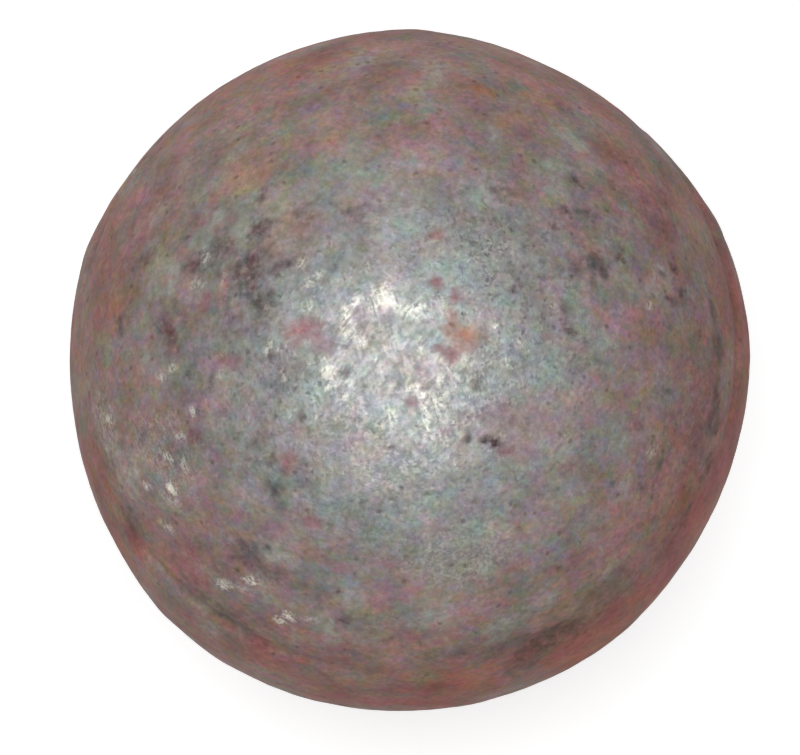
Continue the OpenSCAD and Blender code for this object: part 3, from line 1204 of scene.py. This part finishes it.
def grained_tone(n, tone, worn, speckle, pocks):
    """Darkens the pocks and paints shade into sunk places, then makes each grain and cloud lighter or
    darker.
    """
    tone = n.mix(n.math("MULTIPLY", pocks, n.ramp(worn, 0.4, 1.0, 0.5, 0.3)), tone, DARK_SCALE_AND_SHADE)
    # Painted shade: the lower a place lies below its surroundings, the darker
    sunk_shade = n.ramp(n.attribute("height"), -0.12, 0.0, 0.15, 0.0)
    tone = n.mix(sunk_shade, tone, DARK_SCALE_AND_SHADE)
    tone = n.scale(tone, n.ramp(speckle, 0, 1, 0.92, 1.08))
    tone = n.scale(tone, n.ramp(n.noise(GRAIN_SIZE, 3, 0.65, seed=5), 0.3, 0.7, 0.83, 1.17))
    return n.scale(tone, n.ramp(n.noise(CLOUD_SIZE, 4, 0.55, seed=6), 0.3, 0.7, 0.76, 1.24))


def steel_tone(n, worn, strokes, cells, pocks):
    """Colour of the scale, rust, marks and worn steel, with painted highlights, glints and shade."""
    tone = scale_tone(n, cells)
    tone = rusted_tone(n, tone, worn)
    tone = marked_tone(n, tone, strokes)
    return grained_tone(n, tone, worn, cells[2], pocks)


POCK_CELL = 1.0
POCK_WARP = 0.5
# The share of cells without a pock
POCK_FREE = 0.74


def steel_pocks(n):
    """1 inside small rust pocks, which lie in some of many cells, and 0 elsewhere."""
    _, luck, distance = n.cells(POCK_CELL, POCK_WARP, seed=31)
    inside = n.ramp(distance, 0.30, 0.12)
    chosen = n.ramp(luck[0], POCK_FREE, POCK_FREE + 0.12)
    return n.math("MULTIPLY", inside, chosen)


STROKE_SIZE = 0.35
STROKE_STRETCH = 4
# The two ways that the strokes run, in degrees, and the size of the fields that run one way
STROKE_RISING = 52
STROKE_FALLING = -72
STROKE_FIELD_SIZE = 5


def steel_strokes(n):
    """Short strokes of hammering and rubbing, which run one way here and another there."""
    rising = n.streaks(STROKE_SIZE, STROKE_STRETCH, STROKE_RISING, seed=13)
    falling = n.streaks(STROKE_SIZE, STROKE_STRETCH, STROKE_FALLING, seed=14)
    where = n.ramp(n.noise(STROKE_FIELD_SIZE, 2, seed=15), 0.45, 0.55)
    blend = n.new("ShaderNodeMix", data_type="FLOAT")
    n.feed(blend.inputs["Factor"], where)
    n.feed(blend.inputs[2], rising)
    n.feed(blend.inputs[3], falling)
    return blend.outputs[0]


BARE_PATCH_SIZE = 1.0


def steel_metal(n, worn, strokes, cells):
    """Share of bare metal."""
    fleck = n.ramp(cells[1], 0.0, 1.0, 0.75, 1.25)
    patch = n.ramp(n.noise(BARE_PATCH_SIZE, 4, 0.65, seed=8), 0.35, 0.65, 0.6, 1.4)
    rub = n.ramp(strokes, 0.35, 0.65, 0.6, 1.4)
    metal = n.math("MULTIPLY", n.math("MULTIPLY", fleck, patch), rub)
    bare = n.math("MULTIPLY_ADD", n.attribute("pale"), 0.25, n.ramp(worn, 0.25, 1.0, 0.0, 0.72))
    metal = n.math("MULTIPLY", metal, bare)
    dull = n.math("MAXIMUM", n.attribute("dark"), n.attribute("red"))
    dull = n.math("MAXIMUM", dull, n.attribute("orange"))
    metal = n.math("MULTIPLY", metal, n.ramp(dull, 0.0, 0.9, 1.0, 0.2))
    return n.ramp(metal, 0.0, 1.0)


BUMP_MM = 0.024
# Depth of a pock and height of the coarse bumps, as multiples of the fine bumps
POCK_DEPTH = 1.2
COARSE_HEIGHT = 2.0
FINE_SIZE = 0.3
COARSE_SIZE = 0.9
FACET_SIZE = 0.3
FACET_TILT = 0.155


def steel_normal(n, strokes, facets, pocks):
    """Fine grain and strokes, with each small cell of the surface tilted its own way."""
    fine = n.noise(FINE_SIZE, 2, 0.6, seed=9)
    coarse = n.noise(COARSE_SIZE, 3, 0.6, seed=10)
    height = n.math("MULTIPLY_ADD", coarse, COARSE_HEIGHT, fine)
    height = n.math("MULTIPLY_ADD", pocks, -POCK_DEPTH, height)
    bump = n.new("ShaderNodeBump")
    n.feed(bump.inputs["Height"], n.math("ADD", height, strokes))
    bump.inputs["Strength"].default_value = 1.0
    bump.inputs["Distance"].default_value = BUMP_MM * MM
    lean = n.vector("SUBTRACT", facets, (0.5, 0.5, 0.5))
    tilted = n.vector("ADD", bump.outputs[0], n.scale(lean, FACET_TILT))
    return n.vector("NORMALIZE", tilted)


SCALE_ROUGHNESS = 0.72
STEEL_ROUGHNESS = 0.5
SPECULAR = 0.12


def steel_material():
    n = Nodes("rusted_steel")
    worn = n.attribute("worn")
    strokes = steel_strokes(n)
    pocks = steel_pocks(n)
    facets, cells, _ = n.cells(FACET_SIZE, FACET_SIZE, seed=21)
    metal = steel_metal(n, worn, strokes, cells)
    shader = n.new("ShaderNodeBsdfPrincipled")
    n.feed(shader.inputs["Base Color"], steel_tone(n, worn, strokes, cells, pocks))
    n.feed(shader.inputs["Metallic"], metal)
    rough = n.ramp(metal, 0.0, 0.8, SCALE_ROUGHNESS, STEEL_ROUGHNESS)
    n.feed(shader.inputs["Roughness"], rough)
    n.feed(shader.inputs["Normal"], steel_normal(n, strokes, facets, pocks))
    shader.inputs["Specular IOR Level"].default_value = SPECULAR
    output = n.new("ShaderNodeOutputMaterial")
    n.feed(output.inputs["Surface"], shader.outputs[0])
    return n.material


# -------- studio

FLOOR_SIZE = 3.0
FLOOR_WHITE = (0.8, 0.8, 0.8, 1.0)
FLOOR_GLOW = 0.45
FILL_STRENGTH = 0.2
KEY_DISTANCE = 1.2
KEY_SIZE = 1.6
KEY_POWER = 16.2
# The key lamp's place beside the camera, as seen from the ball, in degrees
KEY_LEFT = 2.5
KEY_UP = 3.0
# A weaker lamp low behind the ball
RIM_PLACE = Vector((-0.5, 1.5, 0.35))
RIM_SIZE = 1.2
RIM_POWER = 8.0


def seen_directly(n):
    """1 for the rays that show the background: camera, glossy and transmission rays."""
    path = n.new("ShaderNodeLightPath")
    mirror = n.math("MAXIMUM", path.outputs["Is Glossy Ray"], path.outputs["Is Transmission Ray"])
    return n.math("MAXIMUM", path.outputs["Is Camera Ray"], mirror)


def add_floor():
    n = Nodes("floor")
    diffuse = n.new("ShaderNodeBsdfDiffuse")
    diffuse.inputs["Color"].default_value = FLOOR_WHITE
    glow = n.new("ShaderNodeEmission")
    n.feed(glow.inputs["Strength"], n.math("MULTIPLY", seen_directly(n), FLOOR_GLOW))
    both = n.new("ShaderNodeAddShader")
    n.feed(both.inputs[0], diffuse.outputs[0])
    n.feed(both.inputs[1], glow.outputs[0])
    output = n.new("ShaderNodeOutputMaterial")
    n.feed(output.inputs["Surface"], both.outputs[0])
    half = FLOOR_SIZE / 2
    mesh = bpy.data.meshes.new("floor")
    corners = [(-half, -half, 0), (half, -half, 0), (half, half, 0), (-half, half, 0)]
    mesh.from_pydata(corners, [], [(0, 1, 2, 3)])
    mesh.materials.append(n.material)
    floor = add_object("floor", mesh)
    floor.location.z = cad_box[0].z


def add_world():
    """A white background for the camera, and a weak even fill for everything else."""
    world = bpy.data.worlds.new("studio")
    world.use_nodes = True
    tree = world.node_tree
    tree.nodes.clear()
    path = tree.nodes.new("ShaderNodeLightPath")
    strength = tree.nodes.new("ShaderNodeMapRange")
    strength.inputs["To Min"].default_value = FILL_STRENGTH
    strength.inputs["To Max"].default_value = 1.0
    background = tree.nodes.new("ShaderNodeBackground")
    output = tree.nodes.new("ShaderNodeOutputWorld")
    tree.links.new(path.outputs["Is Camera Ray"], strength.inputs["Value"])
    tree.links.new(strength.outputs[0], background.inputs["Strength"])
    tree.links.new(background.outputs[0], output.inputs["Surface"])
    bpy.context.scene.world = world


def add_lamp(name, place, size, power):
    """A round soft lamp that faces the ball."""
    data = bpy.data.lights.new(name, "AREA")
    data.shape = "DISK"
    data.size = size
    data.energy = power
    lamp = add_object(name, data)
    lamp.location = place
    lamp.rotation_euler = place.to_track_quat("Z", "Y").to_euler()


def add_lamps():
    right, up, back = camera_axes()
    aside = -math.tan(math.radians(KEY_LEFT)) * right
    above = math.tan(math.radians(KEY_UP)) * up
    add_lamp("key", (back + aside + above).normalized() * KEY_DISTANCE, KEY_SIZE, KEY_POWER)
    add_lamp("rim", RIM_PLACE, RIM_SIZE, RIM_POWER)


def main():
    bpy.context.scene.view_settings.view_transform = "Standard"
    add_camera()
    add_world()
    add_lamps()
    add_floor()
    tree = ball_tree()
    skin = make_skin(tree, PhotoView(tree))
    skin.data.materials.append(steel_material())
    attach(skin, "root")
    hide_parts("ball")


main()
